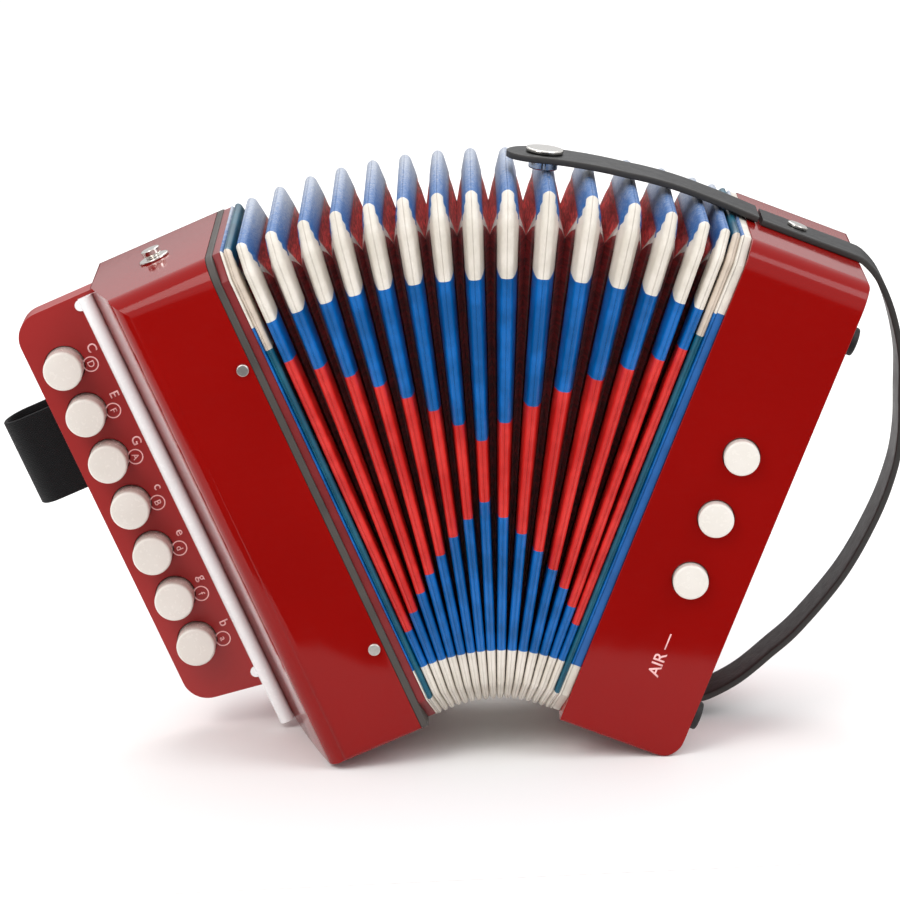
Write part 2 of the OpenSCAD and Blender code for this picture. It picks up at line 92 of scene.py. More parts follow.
def linear(code):
    """An sRGB hex colour as linear RGBA: each channel through the sRGB curve."""
    c = np.array([int(code[i:i + 2], 16) for i in (1, 3, 5)]) / 255
    c = np.where(c <= 0.04045, c / 12.92, ((c + 0.055) / 1.055) ** 2.4)
    return (*c.tolist(), 1.0)


def add(tree, kind, sockets=None, **settings):
    """Adds a node to a tree. Settings are its own fields; sockets fill its inputs, each with a value,
    with the output to link, or with a node whose first output is linked."""
    made = tree.nodes.new("ShaderNode" + kind)
    for key, value in settings.items():
        setattr(made, key, value)
    for key, value in (sockets or {}).items():
        if isinstance(value, bpy.types.Node):
            value = value.outputs[0]
        if isinstance(value, bpy.types.NodeSocket):
            tree.links.new(value, made.inputs[key])
        else:
            made.inputs[key].default_value = value
    return made


def begin(name):
    """An empty material, to be filled by add(), and its node tree."""
    made = bpy.data.materials.new(name)
    made.use_nodes = True
    made.node_tree.nodes.clear()
    return made, made.node_tree


def put_mesh(name, points, faces, smooth=True):
    """A new object with these points (metres in the frame) and faces, already in place."""
    mesh = bpy.data.meshes.new(name)
    mesh.from_pydata(np.asarray(points).reshape(-1, 3).tolist(), [], [list(map(int, f)) for f in faces])
    mesh.polygons.foreach_set("use_smooth", np.full(len(mesh.polygons), smooth))
    mesh.update()
    made = bpy.data.objects.new(name, mesh)
    bpy.context.scene.collection.objects.link(made)
    return made


paper, tree = begin("matt_white_paper")
fibre = add(tree, "TexNoise", {"Vector": add(tree, "TexCoord").outputs["Object"], "Scale": 900.0})
shader = add(tree, "BsdfPrincipled", {
    "Base Color": linear("#F3F2F1"), "Roughness": 0.9, "Specular IOR Level": 0.1,
    "Normal": add(tree, "Bump", {"Height": fibre, "Distance": 0.05 * MM, "Strength": 0.3})})
add(tree, "OutputMaterial", {"Surface": shader})


def sheet_of_paper(name, x0, x1, y0, y1, z):
    """A flat rectangle of the sweep at height z, facing up."""
    made = put_mesh(name, [(x0, y0, z), (x1, y0, z), (x1, y1, z), (x0, y1, z)], [(0, 1, 2, 3)], False)
    made.data.materials.append(paper)
    return made


floor = sheet_of_paper("floor", -12, 12, -12, 14, -0.0003)
floor.visible_glossy = False
sheet_of_paper("near_floor", -1.2, 1.2, -0.172, 1.2, -0.0002)

world = bpy.data.worlds.new("studio")
bpy.context.scene.world = world
world.use_nodes = True
tree = world.node_tree
tree.nodes.clear()
ray = add(tree, "SeparateXYZ", {"Vector": add(tree, "TexCoord").outputs["Generated"]})
sky = add(tree, "ValToRGB", {"Fac": add(tree, "MapRange", {
    "Value": ray.outputs["Z"], "From Min": -1.0, "From Max": 1.0})})
stops = sky.color_ramp.elements
stops[0].position, stops[0].color = 0.40, linear("#1C1B1B")
stops[1].position, stops[1].color = 0.62, linear("#FBFBFC")
stops.new(0.495).color = linear("#5B5A5A")
stops.new(0.52).color = linear("#C9C8C8")
glow = add(tree, "Background", {"Color": sky, "Strength": 1.05})
add(tree, "OutputWorld", {"Surface": glow})


def soft_box(name, spot, size, watts, tint):
    """A square lamp panel at spot, facing the middle of the instrument."""
    lamp = bpy.data.lights.new(name, "AREA")
    lamp.shape, lamp.size, lamp.energy, lamp.color = "SQUARE", size, watts, linear(tint)[:3]
    made = bpy.data.objects.new(name, lamp)
    bpy.context.scene.collection.objects.link(made)
    back = np.array(spot) - aim
    back = back / np.linalg.norm(back)
    side = np.cross([0, 0, 1], back)
    side = side / np.linalg.norm(side)
    pose = np.eye(4)
    pose[:3, 0], pose[:3, 1], pose[:3, 2], pose[:3, 3] = side, np.cross(back, side), back, spot
    made.matrix_world = Matrix(pose.tolist())
    return made


soft_box("soft_box_left", (-0.9, -1.1, 1.5), 0.9, 12, "#FFFDFA")
soft_box("soft_box_right", (1.2, -0.7, 1.3), 0.8, 8, "#FAFCFF")
soft_box("soft_box_back", (0.1, 1.2, 1.6), 1.2, 14, "#FFFFFF")

# ---- Cases ----------------------------------------------------------------------------------
# Two thin boxes of injection-moulded ABS, polished and lacquered deep red. Their upper edges are
# rolled; each case opens towards the bellows and is screwed to its wooden end frame.
FACET = math.radians(32)
CASE_EDGE = 0.35


def smoothed(node, name, body, bevel=0.0, sides=2, facet=FACET):
    """A copy of a CAD node with its triangles joined: doubles merged, flat triangles dissolved, edges
    sharper than facet kept crisp, and a small rounding of bevel mm along them."""
    made = bpy.data.objects.new(name, frame["nodes"][node].data.copy())
    bpy.context.scene.collection.objects.link(made)
    made.data.materials.clear()
    for key in [k for k in made.keys()]:
        del made[key]
    cut = bmesh.new()
    cut.from_mesh(made.data)
    bmesh.ops.remove_doubles(cut, verts=cut.verts, dist=2e-6)
    bmesh.ops.dissolve_limit(cut, angle_limit=math.radians(0.4), verts=cut.verts, edges=cut.edges)
    cut.to_mesh(made.data)
    cut.free()
    if made.data.attributes.get("custom_normal"):
        made.data.attributes.remove(made.data.attributes["custom_normal"])
    made.data.polygons.foreach_set("use_smooth", np.ones(len(made.data.polygons), bool))
    if bevel:
        edge = made.modifiers.new("edge", "BEVEL")
        edge.width, edge.segments, edge.limit_method, edge.angle_limit = bevel * MM, sides, "ANGLE", facet
        edge.harden_normals = False
        edge.use_clamp_overlap = True
    made.data.set_sharp_from_angle(angle=math.radians(50) if bevel else facet)
    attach(made, body)
    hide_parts(node)
    return made


# Lacquered ABS: a deep wet red with a clear skin over it. The skin ripples slightly (orange peel,
# about 4 mm from crest to crest), and hair-fine handling marks dull it in places.
lacquer, tree = begin("red_lacquered_abs")
spot = add(tree, "TexCoord").outputs["Object"]
cloud = add(tree, "TexNoise", {"Vector": spot, "Scale": 16.0, "Detail": 2.0})
tone = add(tree, "MixRGB", {"Fac": cloud, "Color1": linear("#7E0705"), "Color2": linear("#8C0A07")})
peel = add(tree, "TexNoise", {"Vector": spot, "Scale": 240.0, "Detail": 1.0})
hairs = add(tree, "Mapping", {"Vector": spot, "Scale": (160.0, 160.0, 2400.0), "Rotation": (0.5, 0.9, 0.2)})
marks = add(tree, "TexNoise", {"Vector": hairs, "Scale": 1.0, "Detail": 3.0})
dull = add(tree, "MapRange", {"Value": marks, "From Min": 0.5, "From Max": 0.8,
                              "To Min": 0.10, "To Max": 0.19})
shader = add(tree, "BsdfPrincipled", {
    "Base Color": tone, "Roughness": dull, "IOR": 1.5, "Specular IOR Level": 0.24,
    "Normal": add(tree, "Bump", {"Height": peel, "Distance": 0.03 * MM, "Strength": 0.12})})
add(tree, "OutputMaterial", {"Surface": shader})

for node, body in (("treble_case", "treble"), ("bass_case", "bass")):
    case = smoothed(node, node + "_shell", body, CASE_EDGE)
    case.data.materials.append(lacquer)

# ---- Gasket ---------------------------------------------------------------------------------
# A strip of dark rubber between the treble case and the end frame, squeezed so that it seals air.
GASKET_EDGE = 0.5


def moulded(name, dark, light, tone, grain, depth, strength, rough, **sockets):
    """A moulded or plated finish: two close tones in clouds of one noise and a bump depth mm deep of
    another. tone and grain are each a noise's scale per metre and its detail."""
    made, tree = begin(name)
    spot = add(tree, "TexCoord").outputs["Object"]
    cloud = add(tree, "TexNoise", {"Vector": spot, "Scale": tone[0], "Detail": tone[1]})
    fine = add(tree, "TexNoise", {"Vector": spot, "Scale": grain[0], "Detail": grain[1]})
    colour = add(tree, "MixRGB", {"Fac": cloud, "Color1": linear(dark), "Color2": linear(light)})
    relief = add(tree, "Bump", {"Height": fine, "Distance": depth * MM, "Strength": strength})
    shader = add(tree, "BsdfPrincipled", {"Base Color": colour, "Roughness": rough, "Normal": relief,
                                          **sockets})
    add(tree, "OutputMaterial", {"Surface": shader})
    return made


# Dull dark rubber with a grey bloom, its moulded grain about 0.7 mm.
rubber = moulded("gasket_rubber", "#332F2C", "#4F4944", (60.0, 2.0), (1400.0, 3.0), 0.08, 0.5, 0.62, IOR=1.52)
gasket = smoothed("treble_gasket", "gasket_strip", "treble", GASKET_EDGE)
gasket.data.materials.append(rubber)

# ---- Bellows --------------------------------------------------------------------------------
# Embossed dark red card folded into eighteen valleys. Cloth tape binds every ridge: white at the
# ends, then blue, with red in the middle; grey leather gussets close the chamfered corners.
# It is a fan of rings, each hinged to the next at its lower edge: body 0 is the treble end, bodies 1
# to 17 are the ridges and body 18 is the bass end. Lengths are millimetres.
steps = np.diff(hinges, axis=0)
lever_axis = joint["lever_1_rock"]["axis"]
feet_axis = next(m["axis"] for m in frame["record"]["mounts"] if m["name"] == "bass_end_feet")
leans = np.concatenate([
    [math.atan2(-lever_axis[0], -lever_axis[2])],
    np.arctan2(-steps[:, 2], steps[:, 0]),
    [math.atan2(-feet_axis[2], feet_axis[0])],
])


def body_name(i):
    """The frame's name for body i of the chain."""
    return {0: "treble", BASS: "bass"}.get(i, f"fold_{i:02d}")


def place(i, x, y, z):
    """Millimetres in body i's own axes, x towards the bass and z up its ring, as metres in the frame:
    the point is turned about the hinge line by the body's lean and moved to its hinge."""
    lean, origin = leans[i], hinges[max(i, 1) - 1]
    x, y, z = np.broadcast_arrays(np.asarray(x, float), y, z)
    return np.stack([origin[0] + (x * np.cos(lean) + z * np.sin(lean)) * MM, origin[1] + y * MM,
                     origin[2] + (z * np.cos(lean) - x * np.sin(lean)) * MM], axis=-1)


OUTER_Y, INNER_Y = 51.5, 31.5
LOW_Z, TOP_Z, INNER_LOW, INNER_TOP = -1.1, 198.0, 20.0, 178.0
CHAMFER = 9.4
DEPTH = 20.0
NOSE_R = 1.3
TAPE = 0.36
TAPE_T = 0.18
GUSSET_FROM = 0.43
CARD_T, BLEND_Z = 0.35, 150.0
ENDS_X = {0: -1.5, BASS: -1.1}
CREAM_FROM = 160.0
TAPE_WHITE, TAPE_BLUE, TAPE_RED, CARD, GUSSET, TAPE_TOP, CARD_TOP, TAPE_CREAM, TAPE_TEAL = range(9)
CAP_CURVE, EAR_FROM, EAR, TIP_TAPER = 2.6, 180.0, 0.43, 0.97


def tape_bands(i):
    """Where the tape on ridge i changes colour, in mm up the ring: the red band is longest on the
    outer folds and narrows in a straight line to the middle fold, so the bands draw a V."""
    middle = 1 - abs(i - 9) / 8
    low_blue, high_blue = 30 + 50 * middle, 158 - 54 * middle
    if i in (0, 1, FOLDS, BASS):
        low_blue = high_blue = 90
    return [21.0, max(low_blue, 22.0), max(high_blue, 22.0), 168.0 - 2 * middle]


def band_colour(i, z):
    """The colour index of the tape on ridge i at heights z."""
    white_low, blue_low, red_low, cap = tape_bands(i)
    made = np.full(z.shape, TAPE_BLUE)
    made[(z > blue_low) & (z < red_low)] = TAPE_RED
    made[(z < white_low) | (z > cap)] = TAPE_WHITE
    if i in (1, FOLDS):
        made = np.where(z > CREAM_FROM, TAPE_CREAM, TAPE_TEAL)
    return made


def ring(f, levels):
    """One turn round the fold at depth share f, anticlockwise from the front's lower end, as (y, z)
    rows and a tag for each edge. At f 0 it is the octagon, at f 1 the inner rectangle; in between each
    corner's two edges run along V + (M - V)(1 - f) + (R - M)(1 - f)^2, with R the octagon's corner, M
    the chamfer's middle and V the inner corner. Heights given in levels stay level on both sides."""
    def edges(sy, outer_z, inner_z):
        v = np.array([sy * INNER_Y, inner_z])
        down = 1 if outer_z > 100 else -1
        side = np.array([sy * OUTER_Y, outer_z - down * CHAMFER])
        flat = np.array([sy * (OUTER_Y - CHAMFER), outer_z])
        m = (side + flat) / 2
        curve = lambda r: v + (m - v) * (1 - f) + (r - m) * (1 - f) ** 2
        return curve(side), curve(flat)
    (fl, fl_b), (ft, ft_b) = edges(-1, LOW_Z, INNER_LOW), edges(-1, TOP_Z, INNER_TOP)
    (bl, bl_b), (bt, bt_b) = edges(1, LOW_Z, INNER_LOW), edges(1, TOP_Z, INNER_TOP)

    def side(low, high):
        z = np.concatenate([np.linspace(low[1], levels[0], 5)[:-1], levels,
                            np.linspace(levels[-1], high[1], 6)[1:]])
        share = (z - low[1]) / (high[1] - low[1])
        return np.stack([low[0] + (high[0] - low[0]) * share, z], 1)

    def line(a, b, n):
        t = np.linspace(0, 1, n + 1)[:, None]
        return a + (b - a) * t
    parts = [("front", side(fl, ft)), ("corner_top", line(ft, ft_b, 4)), ("top", line(ft_b, bt_b, 16)),
             ("corner_top", line(bt_b, bt, 4)), ("back", side(bl, bt)[::-1]),
             ("corner_low", line(bl, bl_b, 4)), ("low", line(bl_b, fl_b, 12)),
             ("corner_low", line(fl_b, fl, 4))]
    rows = np.concatenate([p[:-1] for _, p in parts])
    tags = np.concatenate([np.full(len(p) - 1, t) for t, p in parts])
    return rows, tags


def narrowing(half_gap):
    """How much narrower than NOSE_R a ridge's nose is where the folds are crowded: 0.62 of the half
    gap, and never more than the whole radius."""
    return np.minimum(1, 0.62 * half_gap / NOSE_R)


def flank(f, half_gap):
    """How far the card stands from its ridge's mid-plane at depth share f: an oval nose that fades with
    depth, a flank that runs as f^p to half the gap, with p smaller where the gap is wide and the card
    is pulled flat, and the tape's own thickness."""
    d = np.minimum(f * DEPTH / NOSE_R, 1)
    nose = NOSE_R * narrowing(half_gap) * np.sqrt(1 - (1 - d) ** 2) * (1 - f)
    p = np.clip(1.4 - 0.16 * (half_gap - 2.3), 0.9, 1.5)
    return np.minimum(nose + half_gap * f ** p + TAPE_T * (f <= TAPE) * np.minimum(f / 0.05, 1), half_gap)


SHARES = np.array([0, 0.004, 0.013, 0.027, 0.045, 0.066, 0.1, 0.16, 0.23, 0.30, TAPE, TAPE + 0.008, 0.43,
                   GUSSET_FROM, 0.6, 0.7, 0.8, 0.9, 0.97, 1.0])


def grid_faces(rows, columns):
    """Quads of a grid whose columns close into a ring; each row of points lies after the last."""
    r, c = np.meshgrid(np.arange(rows - 1), np.arange(columns), indexing="ij")
    n = (c + 1) % columns
    here, after = r * columns, (r + 1) * columns
    return np.stack([here + c, here + n, after + n, after + c], -1).reshape(-1, 4)


def tint(name, dark, light, rough, sheen, weave, depth, streak=0.0):
    """A bookbinder's cloth or card: two close tones in broad clouds, or in brushed streaks where it is
    embossed, and a bump of weave mm from thread to thread, drawn coarse enough to show."""
    made, tree = begin(name)
    spot = add(tree, "TexCoord").outputs["Object"]
    pattern = add(tree, "TexNoise", {"Vector": spot, "Scale": 90.0, "Detail": 4.0, "Roughness": 0.6})
    if streak:
        turn = add(tree, "Mapping", {"Vector": spot, "Rotation": (0, 0.9, 0.5), "Scale": (1, 1, 7)})
        pattern = add(tree, "TexNoise", {"Vector": turn, "Scale": streak, "Detail": 4.0,
                                         "Roughness": 0.62})
    share = add(tree, "MapRange", {"Value": pattern.outputs["Fac"], "From Min": 0.4, "From Max": 0.62})
    thread = add(tree, "TexVoronoi", {"Vector": spot, "Scale": 1000.0 / weave})
    shader = add(tree, "BsdfPrincipled", {
        "Base Color": add(tree, "MixRGB", {"Fac": share, "Color1": linear(dark), "Color2": linear(light)}),
        "Roughness": rough, "IOR": 1.48, "Sheen Weight": sheen, "Sheen Roughness": 0.4,
        "Normal": add(tree, "Bump", {"Height": thread, "Distance": depth * MM, "Strength": 0.5})})
    add(tree, "OutputMaterial", {"Surface": shader})
    return made


def tape_with_painted_sheen(name, fresh, worn_and_sheen):
    """Blue tape that turns pale towards the back, a painted reflection of the bright sky behind it: the share of
    the pale tone rises from y = -35 mm to 45 mm, and spots about 1 mm across, partly wear, break it into a
    stipple."""
    made, tree = begin(name)
    spot = add(tree, "TexCoord").outputs["Object"]
    back = add(tree, "MapRange", {"Value": add(tree, "SeparateXYZ", {"Vector": spot}).outputs["Y"],
                                  "From Min": -0.035, "From Max": 0.045})
    dots = add(tree, "TexNoise", {"Vector": spot, "Scale": 900.0, "Detail": 3.0, "Roughness": 0.7})
    stipple = add(tree, "MapRange", {"Value": dots.outputs["Fac"], "From Min": 0.36, "From Max": 0.64,
                                     "To Min": -0.34, "To Max": 0.34})
    share = add(tree, "Math", {0: back, 1: stipple}, operation="ADD", use_clamp=True)
    shader = add(tree, "BsdfPrincipled", {
        "Base Color": add(tree, "MixRGB", {"Fac": share, "Color1": linear(fresh),
                                           "Color2": linear(worn_and_sheen)}),
        "Roughness": 0.46, "IOR": 1.48,
        "Normal": add(tree, "Bump", {"Height": dots, "Distance": 0.05 * MM, "Strength": 0.5})})
    add(tree, "OutputMaterial", {"Surface": shader})
    return made


bellows_finish = [
    # Bookcloth tape, polyester with a light glaze: soft highlights along each ridge, threads 0.6 mm.
    tint("white_bookcloth_tape", "#CFC8BC", "#DDD6CC", 0.34, 0.0, 0.6, 0.02),
    tint("blue_bookcloth_tape", "#00508F", "#0A62AD", 0.28, 0.0, 0.6, 0.03),
    tint("red_bookcloth_tape", "#B81D1A", "#CF2E29", 0.3, 0.0, 0.6, 0.03),
    # Embossed card: dark red leatherette paper with slanting brushed marks, grain 1.1 mm.
    tint("embossed_red_card", "#6E1216", "#AE2A2C", 0.5, 0.05, 1.1, 0.12, 130.0),
    # Skived sheepskin gusset: chalky grey-beige, pores 0.8 mm.
    tint("sheepskin_gusset", "#A59A90", "#DDD4C9", 0.8, 0.2, 0.8, 0.1),
    # The same blue tape on the upper side, paler towards the back: a painted reflection, broken into a stipple
    # that is partly wear.
    tape_with_painted_sheen("blue_tape_with_painted_sheen", "#1B5C9C", "#AEB4BE"),
    # The card's upper side is a lighter copy of the same card, painted light where the top faces the sky, in
    # brushed streaks about 8 mm long.
    tint("red_card_painted_top_light", "#A01A1E", "#EE5450", 0.46, 0.05, 1.1, 0.1, 120.0),
    # The first and last ridges are bound to their frames in cream cloth over teal.
    tint("cream_bookcloth_tape", "#BCAE9F", "#CFC0B0", 0.4, 0.0, 0.6, 0.03),
    tint("teal_bookcloth_tape", "#0A4A60", "#0F5A70", 0.3, 0.0, 0.6, 0.03),
]


def top_colour(i):
    """The tape across the top of ridge i."""
    return TAPE_TEAL if i in (1, FOLDS) else TAPE_TOP


def half_gap_at(k, z):
    """Half of the space between ridges k and k + 1 at height z, in mm, measured in the frame."""
    a = place(k, ENDS_X.get(k, 0.0), 0, z)
    b = place(k + 1, ENDS_X.get(k + 1, 0.0), 0, z)
    return np.linalg.norm(b - a, axis=-1) / MM / 2


def valley(k):
    """The card between ridges k and k + 1: ring(f) from the left nose down to the valley and up to the
    right nose. A point is place(k) at its flank's offset, moved by f / 2 of the way to the other ring."""
    levels = sorted({*tape_bands(k), *tape_bands(k + 1), *np.linspace(26, 164, 25).round(1)})
    levels = np.array([z for n, z in enumerate(levels) if n == 0 or z - levels[n - 1] > 0.05])
    rows, colours = [], []
    plan = [(f, 0) for f in SHARES] + [(f, 1) for f in SHARES[-2::-1]]
    for f, far in plan:
        line, tags = ring(f, levels + CAP_CURVE * (levels > CREAM_FROM + 4) * min(f / TAPE, 1) ** 2)
        y, z = line[:, 0], line[:, 1]
        half = half_gap_at(k, z)
        offset = flank(f, half)
        at_k = place(k, ENDS_X.get(k, 0.0), y, z)
        at_next = place(k + 1, ENDS_X.get(k + 1, 0.0), y, z)
        share = (offset / (2 * half))[:, None]
        rows.append(at_next + (at_k - at_next) * share if far else at_k + (at_next - at_k) * share)
    columns = len(rows[0])
    flat_line, tags = ring(0.0, levels)
    edge_z = (flat_line[:, 1] + np.roll(flat_line[:, 1], -1)) / 2
    edge_y = (flat_line[:, 0] + np.roll(flat_line[:, 0], -1)) / 2
    for n in range(len(plan) - 1):
        f = (plan[n][0] + plan[n + 1][0]) / 2
        ridge = k + 1 if n >= len(SHARES) - 1 else k
        # The top rows take the lighter copy of the card: painted light.
        made = np.where(tags == "top", CARD_TOP, CARD)
        reach = np.where((edge_z > EAR_FROM) & ((tags == "front") | (tags == "back")), EAR, TAPE)
        made = np.where(f < reach, band_colour(ridge, edge_z), made)
        made[(tags == "top") & (f < TAPE)] = top_colour(ridge)
        made[((tags == "low") | (tags == "corner_low")) & (f < TAPE)] = TAPE_WHITE
        tip = tags == "corner_top"
        inward = np.clip((OUTER_Y - np.abs(edge_y[tip])) / CHAMFER, 0, 1)
        made[tip] = np.where(f < EAR * (1 - TIP_TAPER * inward), band_colour(ridge, edge_z[tip]),
                             top_colour(ridge) if f < TAPE else GUSSET)
        if f > GUSSET_FROM:
            made[tip | (tags == "corner_low")] = GUSSET
        colours.append(made)
    piece = put_mesh(f"bellows_valley_{k + 1:02d}", np.concatenate(rows), grid_faces(len(plan), columns))
    for finish in bellows_finish:
        piece.data.materials.append(finish)
    piece.data.polygons.foreach_set("material_index", np.concatenate(colours).astype(np.int32))
    wall = piece.modifiers.new("card", "SOLIDIFY")
    wall.thickness, wall.offset = CARD_T * MM, -1
    place(k, 0, 0, BLEND_Z).tolist()
    place(k + 1, 0, 0, BLEND_Z).tolist()
    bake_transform(piece)
    return piece


valleys = [valley(k) for k in range(BASS)]
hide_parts("bellows_cloth")

NOSE_HALF, NOSE_LIFT, NOSE_T = 0.9, 0.08, 0.5


def nose(i):
    """The doubled tape over ridge i: a closed strip whose outer face is the nose's arc, depth
    r - sqrt(r^2 - x^2), narrowed as the flanks are, lifted a little and carried round ring(f)."""
    levels = np.array(sorted({*tape_bands(i), *np.linspace(26, 164, 25).round(1)}))
    levels = levels[np.concatenate([[True], np.diff(levels) > 0.05])]
    x = np.linspace(-NOSE_HALF, NOSE_HALF, 7)
    outer = NOSE_R - np.sqrt(NOSE_R ** 2 - x ** 2) - NOSE_LIFT
    section = [*zip(x, outer), *zip(x[::-1], outer[::-1] + NOSE_T)]
    rows = []
    for across, deep in section + section[:1]:
        line, tags = ring(deep / DEPTH, levels)
        room = np.minimum(half_gap_at(i - 1, line[:, 1]), half_gap_at(i, line[:, 1]))
        rows.append(place(i, across * narrowing(room), line[:, 0], line[:, 1]))
    columns = len(line)
    flat_line, tags = ring(0.0, levels)
    edge_z = (flat_line[:, 1] + np.roll(flat_line[:, 1], -1)) / 2
    made = band_colour(i, edge_z)
    made[tags == "top"] = top_colour(i)
    if i not in (1, FOLDS):
        made[(tags == "corner_top") | (tags == "corner_low") | (tags == "low")] = TAPE_WHITE
    faces = grid_faces(len(rows), columns) % (columns * len(section))
    piece = put_mesh(f"bellows_ridge_{i:02d}", np.concatenate(rows[:-1]), faces)
    for finish in bellows_finish:
        piece.data.materials.append(finish)
    piece.data.polygons.foreach_set("material_index", np.tile(made, len(section)).astype(np.int32))
    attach(piece, body_name(i))
    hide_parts(f"fold_{i:02d}")
    return piece


for i in range(1, FOLDS + 1):
    nose(i)

# ---- Bellows end frames ---------------------------------------------------------------------
# Beech frames covered with painted cloth, dark red on the treble side and banded like the tape on
# the bass side, that carry the bellows and are screwed to the two cases.
FRAME_EDGE = 0.3


def heights(i, points):
    """The inverse of place() for its x and z: where frame points lie in body i's axes, in mm."""
    lean, origin = leans[i], hinges[max(i, 1) - 1]
    dx, dz = (points[:, 0] - origin[0]) / MM, (points[:, 2] - origin[2]) / MM
    return dx * np.cos(lean) - dz * np.sin(lean), dx * np.sin(lean) + dz * np.cos(lean)


def frame_cloth(name, bands):
    """Painted cloth over beech: colour by height up the ring, held between the given (mm, hex) steps."""
    made, tree = begin(name)
    up_ring = add(tree, "Attribute", attribute_name="ring_height")
    fade = add(tree, "ValToRGB", {"Fac": add(tree, "MapRange", {
        "Value": up_ring.outputs["Fac"], "From Min": 0.0, "From Max": 200.0})})
    fade.color_ramp.interpolation = "CONSTANT"
    stops = fade.color_ramp.elements
    stops[0].position, stops[0].color = 0.0, linear(bands[0][1])
    stops.remove(stops[1])
    for height, code in bands[1:]:
        stops.new(height / 200).color = linear(code)
    spot = add(tree, "TexCoord").outputs["Object"]
    cloth = add(tree, "TexNoise", {"Vector": spot, "Scale": 1500.0, "Detail": 2.0})
    mottle = add(tree, "TexNoise", {"Vector": spot, "Scale": 120.0, "Detail": 4.0})
    shade = add(tree, "MapRange", {"Value": mottle.outputs["Fac"], "From Min": 0.35, "From Max": 0.65,
                                   "To Min": 0.86, "To Max": 1.08})
    tone = add(tree, "MixRGB", {"Fac": 1.0, "Color1": fade, "Color2": shade},
               blend_type="MULTIPLY")
    # Bookcloth under a thin satin paint: threads 0.7 mm apart show through, tone uneven over 8 mm.
    shader = add(tree, "BsdfPrincipled", {
        "Base Color": tone, "Roughness": 0.42, "IOR": 1.5, "Sheen Weight": 0.1,
        "Normal": add(tree, "Bump", {"Height": cloth, "Distance": 0.06 * MM, "Strength": 0.5})})
    add(tree, "OutputMaterial", {"Surface": shader})
    return made


# On the treble frame the band above 198 mm, its top face, is pink: a painted reflection of the sky.
treble_cloth = frame_cloth("red_cloth_painted_top_reflection", [(0, "#7A1014"), (198, "#B87472")])
bass_cloth = frame_cloth("banded_painted_cloth", [(0, "#CFC8BC"), (21, "#07589E"), (168, "#D6CFC4")])
for node, body, i, finish in (("treble_frame", "treble", 0, treble_cloth),
                              ("bass_frame", "bass", BASS, bass_cloth)):
    end = smoothed(node, node + "_cloth", body, FRAME_EDGE)
    points = np.array([v.co for v in end.data.vertices])
    up_values = end.data.attributes.new("ring_height", "FLOAT", "POINT")
    up_values.data.foreach_set("value", heights(i, points)[1].astype(np.float32))
    end.data.materials.append(finish)

# ---- Fingerboard and its back plate ---------------------------------------------------------
# A hollow tray of the same red ABS, moulded with a fine satin texture and left without lacquer.
# A flat plate closes its back.
# The texture's grains are about 0.9 mm here, coarser than the real spark finish, so that they show.
satin = moulded("satin_red_abs", "#8F1614", "#A31B19", (14.0, 2.0), (1100.0, 2.0), 0.03, 0.35, 0.36, IOR=1.5)
BOARD_EDGE = 0.8
board = smoothed("fingerboard", "fingerboard_tray", "treble", BOARD_EDGE, 3)
board.data.materials.append(satin)
back_plate = smoothed("fingerboard_base", "fingerboard_back", "treble", 0.4)
back_plate.data.materials.append(satin)

# ---- Buttons and rail -----------------------------------------------------------------------
# Solid white ABS buttons turned with a slightly domed, polished face and a rounded rim. The rail
# beside the keys is a moulded half-round strip, held by a screw lug at each end.


def white_abs(name, dark, light):
    """Polished white ABS: two close tones over about 14 mm, and fine wear that breaks up the gloss."""
    made, tree = begin(name)
    spot = add(tree, "TexCoord").outputs["Object"]
    age = add(tree, "TexNoise", {"Vector": spot, "Scale": 70.0, "Detail": 3.0})
    wear_and_sheen = add(tree, "TexNoise", {"Vector": spot, "Scale": 700.0, "Detail": 4.0})
    shader = add(tree, "BsdfPrincipled", {
        "Base Color": add(tree, "MixRGB", {"Fac": age.outputs["Fac"], "Color1": linear(dark),
                                           "Color2": linear(light)}),
        "Roughness": add(tree, "MapRange", {"Value": wear_and_sheen.outputs["Fac"], "From Min": 0.45, "From Max": 0.75,
                                            "To Min": 0.2, "To Max": 0.34}), "IOR": 1.5,
        "Normal": add(tree, "Bump", {"Height": wear_and_sheen, "Distance": 0.02 * MM, "Strength": 0.15})})
    add(tree, "OutputMaterial", {"Surface": shader})
    return made


# The buttons are a slightly yellowed white. The rail takes a brighter copy of the same white: whiter than the
# buttons, and lifted further as painted light against the red light it catches from the board.
ivory = white_abs("white_polished_abs", "#D6D0C7", "#E6E1DA")
rail_white_painted_light = white_abs("rail_white_abs_painted_light", "#F1F2F2", "#FAFBFB")
TURNS = 48


def lathe(name, i, x, z, profile):
    """A solid turned about a line along y through (x, z) of body i: profile rows (radius, y) run from
    the front pole to the back pole, each carried round TURNS steps; the poles are single points."""
    profile = np.array(profile, float)
    turn_by = np.arange(TURNS) * 2 * np.pi / TURNS
    r, y = profile[1:-1, 0][:, None], profile[1:-1, 1][:, None]
    body = place(i, x + r * np.cos(turn_by), y + 0 * turn_by, z + r * np.sin(turn_by))
    poles = [place(i, x, profile[0, 1], z), place(i, x, profile[-1, 1], z)]
    points = np.concatenate([body.reshape(-1, 3), np.stack(poles)])
    turns = len(profile) - 2
    first, last = turns * TURNS, turns * TURNS + 1
    c = np.arange(TURNS)
    n = (c + 1) % TURNS
    faces = [*grid_faces(turns, TURNS).tolist(), *np.stack([np.full(TURNS, first), n, c], 1).tolist(),
             *np.stack([np.full(TURNS, last), c + (turns - 1) * TURNS, n + (turns - 1) * TURNS], 1).tolist()]
    return put_mesh(name, points, faces)


